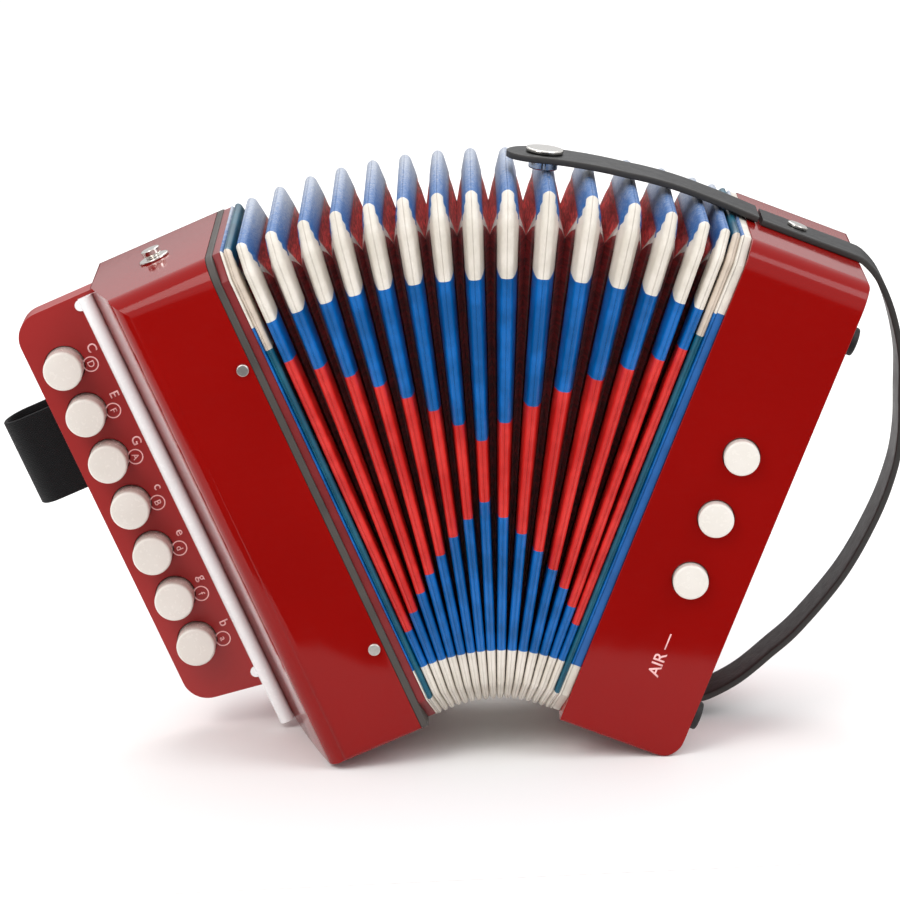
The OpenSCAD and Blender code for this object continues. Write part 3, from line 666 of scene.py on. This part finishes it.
def button_profile(r, front, back, stem_r, stem_end, rim=1.0, dome=0.25):
    """The profile of a button: a shallow dome, a quarter-round rim, a straight skirt and its stem."""
    arc = np.linspace(0, np.pi / 2, 7)
    dome_r = np.linspace(0.0, r - rim, 6)
    rows = [(d, front + dome * (d / (r - rim)) ** 2) for d in dome_r]
    rows += [(r - rim + rim * np.sin(a), front + dome + rim * (1 - np.cos(a))) for a in arc[1:]]
    rows += [(r, (front + back) / 2), (r, back - 0.2), (r - 0.2, back), (stem_r + 0.3, back),
             (stem_r, back + 0.3), (stem_r, stem_end), (0, stem_end)]
    return rows


def button_spot(node, i):
    """Where a button's CAD node lies in body i, in mm: its centre's x and z, its front and its back."""
    low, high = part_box(node)
    x, z = (v[0] for v in heights(i, np.array([[(low.x + high.x) / 2, 0, (low.z + high.z) / 2]])))
    return x, z, (low.y - hinges[0][1]) / MM, (high.y - hinges[0][1]) / MM


KEY_R, KEY_SKIRT, STEM_R = 7.7, 6.0, 2.0
BASS_R, BASS_SKIRT, PALLET_R, PALLET_T, PALLET_ROUND = 6.8, 7.5, 7.5, 3.0, 0.3
buttons = [(f"key_button_{k}", f"key_{k}_cap", f"key_{k}", 0) for k in range(1, 8)]
buttons += [(node, node + "_cap", body, BASS) for node, body in (
    ("bass_button_1", "bass_key_1"), ("bass_button_2", "bass_key_2"), ("air_button", "air_key"))]
for node, name, body, i in buttons:
    x, z, front, back = button_spot(node, i)
    if i == BASS:
        rows = button_profile(BASS_R, front, front + BASS_SKIRT, STEM_R, back - PALLET_T, 0.9, 0.2)[:-1]
        inner = PALLET_R - PALLET_ROUND
        rows += [(inner, back - PALLET_T), (PALLET_R, back - PALLET_T + PALLET_ROUND),
                 (PALLET_R, back - PALLET_ROUND), (inner, back), (0, back)]
    else:
        rows = button_profile(KEY_R, front, KEY_SKIRT, STEM_R, back)
    key = lathe(name, i, x, z, rows)
    key.data.materials.append(ivory)
    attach(key, body)
    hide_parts(node)
rail = smoothed("rail", "rail_strip", "treble", 0.5, 3)
rail.data.materials.append(rail_white_painted_light)

# ---- Metal fittings -------------------------------------------------------------------------
# Press stud, snap cap and screws: steel stampings, nickel plated and bright, with fine scratches.
chrome, tree = begin("nickel_plated_steel")
spot = add(tree, "TexCoord").outputs["Object"]
lines = add(tree, "Mapping", {"Vector": spot, "Scale": (300.0, 4000.0, 300.0), "Rotation": (0.3, 0.7, 0.1)})
scratch = add(tree, "TexNoise", {"Vector": lines, "Scale": 1.0, "Detail": 3.0})
shader = add(tree, "BsdfPrincipled", {
    "Base Color": linear("#D5D2CC"), "Metallic": 1.0,
    "Roughness": add(tree, "MapRange", {"Value": scratch.outputs["Fac"], "From Min": 0.4, "From Max": 0.8,
                                        "To Min": 0.08, "To Max": 0.24}),
    "Normal": add(tree, "Bump", {"Height": scratch, "Distance": 0.01 * MM, "Strength": 0.3})})
add(tree, "OutputMaterial", {"Surface": shader})
# Bright zinc on a cold-formed head: softer than nickel, mottled over about 0.8 mm.
zinc = moulded("zinc_plated_screw", "#C9C7C2", "#F2F0EB", (1200.0, 3.0), (1200.0, 3.0), 0.02, 0.3, 0.42,
               Metallic=1.0)
for node, body, bevel, finish in (("strap_stud", "treble", 0.35, chrome),
                                  ("treble_screws", "treble", 0.4, zinc),
                                  ("strap_screws", "bass", 0.4, chrome),
                                  ("snap", "closing_tab", 0.5, chrome)):
    metal = smoothed(node, node + "_metal", body, bevel, 3)
    metal.data.materials.append(finish)

# ---- Straps ---------------------------------------------------------------------------------
# The hand strap and the closing tab are one band of black leather, cut 22 mm wide with burnished
# edges; the band is screwed to the top of the bass case and its free end carries the snap.
leather, tree = begin("black_bridle_leather")
spot = add(tree, "TexCoord").outputs["Object"]
pores = add(tree, "TexVoronoi", {"Vector": spot, "Scale": 900.0})
crease = add(tree, "TexNoise", {"Vector": spot, "Scale": 220.0, "Detail": 5.0, "Roughness": 0.65})
both = add(tree, "Math", {0: pores.outputs["Distance"], 1: crease.outputs["Fac"]}, operation="ADD")
edge_glint = add(tree, "Attribute", attribute_name="edge_highlight")
# Near-black dyed leather, pores 1.1 mm apart, with finer creases; the paler tone along its rounded edges is a
# painted highlight.
skin = add(tree, "MixRGB", {"Fac": crease, "Color1": linear("#070708"), "Color2": linear("#171718")})
shader = add(tree, "BsdfPrincipled", {
    "Base Color": add(tree, "MixRGB", {"Fac": edge_glint.outputs["Fac"], "Color1": skin,
                                       "Color2": linear("#454341")}),
    "Roughness": add(tree, "MapRange", {"Value": crease, "To Min": 0.34, "To Max": 0.6}),
    "IOR": 1.5, "Specular IOR Level": 0.3,
    "Normal": add(tree, "Bump", {"Height": both, "Distance": 0.12 * MM, "Strength": 0.5})})
add(tree, "OutputMaterial", {"Surface": shader})
STRAP_W, STRAP_T, STRAP_EDGE = 22.0, 2.5, 0.6


def smooth_route(points, n):
    """n points evenly spaced along a Catmull-Rom curve through the given (x, z) points."""
    p = np.array(points, float)
    p = np.concatenate([[2 * p[0] - p[1]], p, [2 * p[-1] - p[-2]]])
    t = np.linspace(0, 1, 24, endpoint=False)[:, None]
    parts = [0.5 * (2 * b + (c - a) * t + (2 * a - 5 * b + 4 * c - d) * t ** 2
                    + (3 * b - a - 3 * c + d) * t ** 3) for a, b, c, d in zip(p, p[1:], p[2:], p[3:])]
    line = np.concatenate([*parts, p[-2:-1]])
    far = np.concatenate([[0], np.cumsum(np.linalg.norm(np.diff(line, axis=0), axis=1))])
    at = np.linspace(0, far[-1], n)
    return np.stack([np.interp(at, far, line[:, 0]), np.interp(at, far, line[:, 1])], 1)


def capped_tube(name, rows):
    """A tube through rows of points, each a closed turn of equal count, shut at both ends by a fan to
    the mean of its first or last turn; its faces are turned outwards."""
    columns, points = len(rows[0]), np.concatenate(rows)
    total, c = len(points), np.arange(columns)
    after, last = (c + 1) % columns, total - columns
    faces = grid_faces(len(rows), columns).tolist()
    faces += np.stack([np.full(columns, total), after, c], 1).tolist()
    faces += np.stack([np.full(columns, total + 1), last + c, last + after], 1).tolist()
    made = put_mesh(name, np.concatenate([points, [points[:columns].mean(0), points[last:].mean(0)]]), faces)
    solid = bmesh.new()
    solid.from_mesh(made.data)
    bmesh.ops.recalc_face_normals(solid, faces=solid.faces)
    solid.to_mesh(made.data)
    solid.free()
    return made


def band(name, i, route, half_width, thick):
    """A strap along a route in body i's x-z plane: a rounded rectangle, half_width(s) by thick, set
    square to the route at each step and closed at both ends by a fan to its centre."""
    step = np.gradient(route, axis=0)
    step /= np.linalg.norm(step, axis=1)[:, None]
    normal = np.stack([-step[:, 1], step[:, 0]], 1)
    e = STRAP_EDGE
    arc = np.linspace(0, np.pi / 2, 4)
    corner = [(np.sin(a), np.cos(a)) for a in arc]
    length = np.concatenate([[0], np.cumsum(np.linalg.norm(np.diff(route, axis=0), axis=1))])
    rows, wear_and_sheen = [], []
    flat = np.linspace(-1, 1, 9)
    for n, (p, up_n) in enumerate(zip(route, normal)):
        w = half_width(length[n], length[-1])
        h = thick / 2
        top_line = [((w - e) * s, h, 0.0) for s in flat]
        right_top = [(w - e + e * a, h - e + e * b, 1.0) for a, b in corner[1:]]
        right_low = [(w - e + e * b, -(h - e + e * a), 1.0) for a, b in corner]
        low_line = [(-(w - e) * s, -h, 0.0) for s in flat]
        left_low = [(-(w - e + e * a), -(h - e + e * b), 1.0) for a, b in corner[1:]]
        left_top = [(-(w - e + e * b), h - e + e * a, 1.0) for a, b in corner]
        loop = np.array(top_line + right_top + right_low + low_line + left_low + left_top)
        rows.append(place(i, p[0] + up_n[0] * loop[:, 1], loop[:, 0], p[1] + up_n[1] * loop[:, 1]))
        wear_and_sheen.append(loop[:, 2])
    piece = capped_tube(name, rows)
    # The rounded edge rows carry a painted highlight, 0.6 of the way to the paler tone.
    worn_and_sheen = piece.data.attributes.new("edge_highlight", "FLOAT", "POINT")
    worn_and_sheen.data.foreach_set("value", np.concatenate([*wear_and_sheen, [0, 0]]).astype(np.float32) * 0.6)
    piece.data.set_sharp_from_angle(angle=math.radians(60))
    return piece


HAND_ROUTE = [(7.8, 199.65), (28, 199.65), (46.5, 199.65), (51.0, 198.9), (58.5, 194.6), (68.18, 184.4),
              (77.5, 170.2), (83.7, 155.4), (89.3, 141), (92.6, 126.4), (93.3, 106.4), (90.3, 80.4),
              (82.4, 54.4), (75.6, 40.2),
              (68.18, 26.4), (60, 16.4), (54.0, 11.6), (51.2, 8.4), (50.95, 3.4)]
hand_route = smooth_route(HAND_ROUTE, 150)
strap = band("hand_strap_leather", BASS, hand_route, lambda s, total: STRAP_W / 2, STRAP_T)
strap.data.materials.append(leather)
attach(strap, "bass")
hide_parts("hand_strap")

TAB_X0, TAB_X1, TAB_BEND, TAB_Z = -92.25, 6.0, -20.0, 200.1
tab_x = np.linspace(TAB_X0, TAB_X1, 100)
# The leather bows up a little past its fold, which keeps it off the ridges when the bellows opens on.
TAB_BOW, BOW_HALF = 0.75, 27.0
tab_bow = TAB_BOW * np.clip(1 - ((tab_x - TAB_BEND) / BOW_HALF) ** 2, 0, 1)
tab_route = np.stack([tab_x, TAB_Z + tab_bow
                      - np.where(tab_x < TAB_BEND, 0.00223 * (tab_x - TAB_BEND) ** 2, 0)], 1)


def rounded_end(s, total):
    """Half the tab's width: a half circle at its free end, full width after it."""
    r = STRAP_W / 2
    return math.sqrt(max(r * r - (r - min(s, r)) ** 2, 0.9)) if s < r else r


tab = band("closing_tab_leather", BASS, tab_route, rounded_end, STRAP_T)
tab.data.materials.append(leather)
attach(tab, "closing_tab")
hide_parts("strap_tab")

# ---- Thumb strap ----------------------------------------------------------------------------
# A loop of black woven webbing behind the fingerboard for the player's thumb.
webbing, tree = begin("woven_nylon_webbing")
weave_uv = add(tree, "UVMap", uv_map="along")
rib = add(tree, "TexWave", {"Vector": weave_uv, "Scale": 0.55, "Distortion": 0.6, "Detail": 1.0},
          wave_type="BANDS", bands_direction="X")
cross = add(tree, "TexWave", {"Vector": weave_uv, "Scale": 0.45, "Distortion": 0.4}, wave_type="BANDS",
            bands_direction="Y")
thread = add(tree, "Math", {0: rib.outputs["Fac"], 1: cross.outputs["Fac"]}, operation="MULTIPLY")
# Nylon threads about 1.8 mm wide and 2.2 mm long in the weave, drawn a little coarse so they show.
shader = add(tree, "BsdfPrincipled", {
    "Base Color": add(tree, "MixRGB", {"Fac": thread, "Color1": linear("#050506"),
                                       "Color2": linear("#17171A")}),
    "Roughness": 0.8, "Specular IOR Level": 0.25, "Sheen Weight": 0.05, "IOR": 1.5,
    "Normal": add(tree, "Bump", {"Height": thread, "Distance": 0.3 * MM, "Strength": 0.7})})
add(tree, "OutputMaterial", {"Surface": shader})
THUMB_T, THUMB_GAP, THUMB_W = 1.6, 15.0, 36.0
BACK_Y, THUMB_X, SIDE_X = 19.5, -118.6, -60.0
low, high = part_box("thumb_strap")
corners = np.array([[low.x, 0, high.z], [high.x, 0, low.z]])
thumb_z = float(heights(0, corners)[1].mean())
round_r = THUMB_T + THUMB_GAP / 2 - THUMB_T / 2
turn_by = np.linspace(-np.pi / 2, -3 * np.pi / 2, 25)
centre_x, centre_y = THUMB_X + THUMB_T + THUMB_GAP / 2, BACK_Y + THUMB_T + THUMB_GAP / 2
loop_line = np.concatenate([
    np.stack([np.linspace(SIDE_X, centre_x, 24), np.full(24, centre_y - round_r)], 1)[:-1],
    np.stack([centre_x + round_r * np.cos(turn_by), centre_y + round_r * np.sin(turn_by)], 1),
    np.stack([np.linspace(centre_x, SIDE_X, 24), np.full(24, centre_y + round_r)], 1)[1:]])
step = np.gradient(loop_line, axis=0)
step /= np.linalg.norm(step, axis=1)[:, None]
normal = np.stack([-step[:, 1], step[:, 0]], 1)
across = np.linspace(-1, 1, 13)
HALF_W, HALF_T, SELVEDGE_W, SELVEDGE_T = THUMB_W / 2, THUMB_T / 2, 0.4, 0.35
edge = np.array([(a * (HALF_W - SELVEDGE_W), HALF_T) for a in across]
                + [(HALF_W, SELVEDGE_T), (HALF_W, -SELVEDGE_T)]
                + [(-a * (HALF_W - SELVEDGE_W), -HALF_T) for a in across]
                + [(-HALF_W, -SELVEDGE_T), (-HALF_W, SELVEDGE_T)])
rows = [place(0, p[0] + n[0] * edge[:, 1], p[1] + n[1] * edge[:, 1], thumb_z + edge[:, 0])
        for p, n in zip(loop_line, normal)]
columns = len(edge)
length = np.concatenate([[0], np.cumsum(np.linalg.norm(np.diff(loop_line, axis=0), axis=1))])
thumb = capped_tube("thumb_strap_webbing", rows)
uv_of = np.stack([np.repeat(length, columns), np.tile(edge[:, 0], len(rows))], 1)
uv_of = np.concatenate([uv_of, np.zeros((2, 2))])
uv = thumb.data.uv_layers.new(name="along")
loops = np.zeros(len(thumb.data.loops), int)
thumb.data.loops.foreach_get("vertex_index", loops)
uv.data.foreach_set("uv", uv_of[loops].astype(np.float32).ravel())
thumb.data.set_sharp_from_angle(angle=math.radians(50))
thumb.data.materials.append(webbing)
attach(thumb, "treble")
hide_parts("thumb_strap")

# ---- Feet -----------------------------------------------------------------------------------
# Four moulded rubber feet on the outer side of the bass case, where it stands when the bellows is shut.
# Matt black with a grain of about 0.8 mm.
sole = moulded("moulded_black_rubber", "#0D0D0D", "#1E1D1D", (1300.0, 3.0), (1300.0, 3.0), 0.1, 0.5, 0.6,
               IOR=1.52)
feet = smoothed("feet", "rubber_feet", "bass", 0.7, 3)
feet.data.materials.append(sole)

# ---- Note letters ---------------------------------------------------------------------------
# Screen-printed pale pink letters beside each key: the note on the push, and circled below it the
# note on the pull. They are set to be read from the player's side, turned a quarter turn.
ink, tree = begin("pale_screen_print")
spot = add(tree, "TexCoord").outputs["Object"]
worn_and_sheen = add(tree, "TexNoise", {"Vector": spot, "Scale": 900.0, "Detail": 3.0})
# Thin pink-white ink, slightly patchy over the satin plastic, in spots of about 1 mm.
shader = add(tree, "BsdfPrincipled", {
    "Base Color": add(tree, "MixRGB", {"Fac": worn_and_sheen, "Color1": linear("#E8999A"),
                                       "Color2": linear("#FBD5D2")}),
    "Roughness": 0.4, "IOR": 1.5})
add(tree, "OutputMaterial", {"Surface": shader})
LETTER, INK_T = 5.2, 0.06
NOTES = [("C", "D"), ("E", "F"), ("G", "A"), ("c", "B"), ("e", "d"), ("g", "f"), ("b", "a")]


def printed(name, words, i, x, y, z, size, read_up, body):
    """Printed letters on body i, standing INK_T proud of the plane y: built flat by the font, made a
    mesh, then laid so that they read up or down the ring."""
    curve = bpy.data.curves.new(name, "FONT")
    curve.body, curve.size, curve.align_x, curve.align_y = words, size, "CENTER", "CENTER"
    curve.offset, curve.extrude = 0.01 * size, 0.0
    source = bpy.data.objects.new(name + "_flat", curve)
    bpy.context.scene.collection.objects.link(source)
    bpy.context.view_layer.update()
    mesh = bpy.data.meshes.new_from_object(source)
    bpy.data.objects.remove(source)
    flat = np.array([v.co for v in mesh.vertices])
    along, upward = flat[:, 0], flat[:, 1]
    if read_up:
        local_x, local_z = x - upward, z + along
    else:
        local_x, local_z = x + upward, z - along
    front = place(i, local_x, np.full(len(flat), y - INK_T), local_z)
    mesh.vertices.foreach_set("co", front.astype(np.float32).ravel())
    mesh.update()
    made = bpy.data.objects.new(name, mesh)
    bpy.context.scene.collection.objects.link(made)
    wall = made.modifiers.new("ink", "SOLIDIFY")
    wall.thickness, wall.offset = INK_T * 0.8 * MM, -1
    made.data.materials.clear()
    made.data.materials.append(ink)
    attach(made, body)
    return made


def circle_print(name, i, x, y, z, r, width, body):
    """A printed ring of mean radius r: an annulus of two radii carried round 40 steps, INK_T thick."""
    a = np.arange(40) * 2 * np.pi / 40
    inner, outer, front, back = r - width / 2, r + width / 2, y - INK_T, y - 0.01
    section = [(inner, front), (outer, front), (outer, back), (inner, back)]
    rows = [place(i, x + q * np.cos(a), np.full(40, d), z + q * np.sin(a)) for q, d in section]
    faces = grid_faces(5, 40) % (4 * 40)
    made = put_mesh(name, np.concatenate(rows), faces, False)
    made.data.materials.append(ink)
    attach(made, body)
    return made


BOARD_Y, KEY_TOP, KEY_PITCH = 4.0, 173.3, 20.4
for k, (push, pull) in enumerate(NOTES):
    z = KEY_TOP - k * KEY_PITCH
    printed(f"note_{k + 1}_push", push, 0, -69.4, BOARD_Y, z + 2.4, LETTER, False, "treble")
    printed(f"note_{k + 1}_pull", pull, 0, -72.4, BOARD_Y, z - 3.4, LETTER * 0.72, False, "treble")
    circle_print(f"note_{k + 1}_ring", 0, -72.4, BOARD_Y, z - 3.4, 2.9, 0.45, "treble")
printed("air_mark", "AIR —", BASS, 28.8, -53.0, 37.0, 6.4, True, "bass")

# ---- Action, seen through the buttons' holes ------------------------------------------------
# Birch levers and a birch pallet board with a steel axle and wire springs carry the keys, and the bass board is
# red satin ABS;
# brass reed plates stand behind the pallet boards. They keep their exact shapes.
wood, tree = begin("birch_plywood")
spot = add(tree, "TexCoord").outputs["Object"]
rings = add(tree, "TexWave", {"Vector": spot, "Scale": 90.0, "Distortion": 4.0, "Detail": 3.0},
            bands_direction="X")
# Pale birch, growth rings about 3.5 mm apart, sanded and unvarnished.
shader = add(tree, "BsdfPrincipled", {
    "Base Color": add(tree, "MixRGB", {"Fac": rings.outputs["Fac"], "Color1": linear("#B98F5E"),
                                       "Color2": linear("#D9B683")}),
    "Roughness": 0.6, "IOR": 1.5,
    "Normal": add(tree, "Bump", {"Height": rings.outputs["Fac"], "Distance": 0.0001, "Strength": 0.3})})
add(tree, "OutputMaterial", {"Surface": shader})
brass, tree = begin("rolled_brass")
spot = add(tree, "TexCoord").outputs["Object"]
drawn_out = add(tree, "Mapping", {"Vector": spot, "Scale": (40.0, 900.0, 900.0)})
roll = add(tree, "TexNoise", {"Vector": drawn_out, "Detail": 3.0})
# Half-hard sheet with rolling lines and light tarnish.
shader = add(tree, "BsdfPrincipled", {
    "Base Color": add(tree, "MixRGB", {"Fac": roll, "Color1": linear("#9A7A35"),
                                       "Color2": linear("#D2B060")}),
    "Metallic": 1.0, "Roughness": add(tree, "MapRange", {"Value": roll, "To Min": 0.2, "To Max": 0.45})})
add(tree, "OutputMaterial", {"Surface": shader})
steel, tree = begin("drawn_steel_wire")
spot = add(tree, "TexCoord").outputs["Object"]
draw = add(tree, "TexNoise", {"Vector": spot, "Scale": 1500.0, "Detail": 3.0})
# Bright drawn wire with fine draw marks.
shader = add(tree, "BsdfPrincipled", {
    "Base Color": linear("#B4B3B0"), "Metallic": 1.0,
    "Roughness": add(tree, "MapRange", {"Value": draw.outputs["Fac"], "To Min": 0.2, "To Max": 0.4})})
add(tree, "OutputMaterial", {"Surface": shader})
inside = {"key_axle": steel, "key_springs": steel, "bass_springs": steel,
          "treble_reeds": brass, "bass_reeds": brass, "pallet_board": wood, "bass_board": satin,
          **{f"key_lever_{k}": wood for k in range(1, 8)}}
for node, finish in inside.items():
    shown = frame["nodes"][node]
    for n in range(max(len(shown.material_slots), 1)):
        if len(shown.material_slots) <= n:
            shown.data.materials.append(finish)
        shown.material_slots[n].material = finish
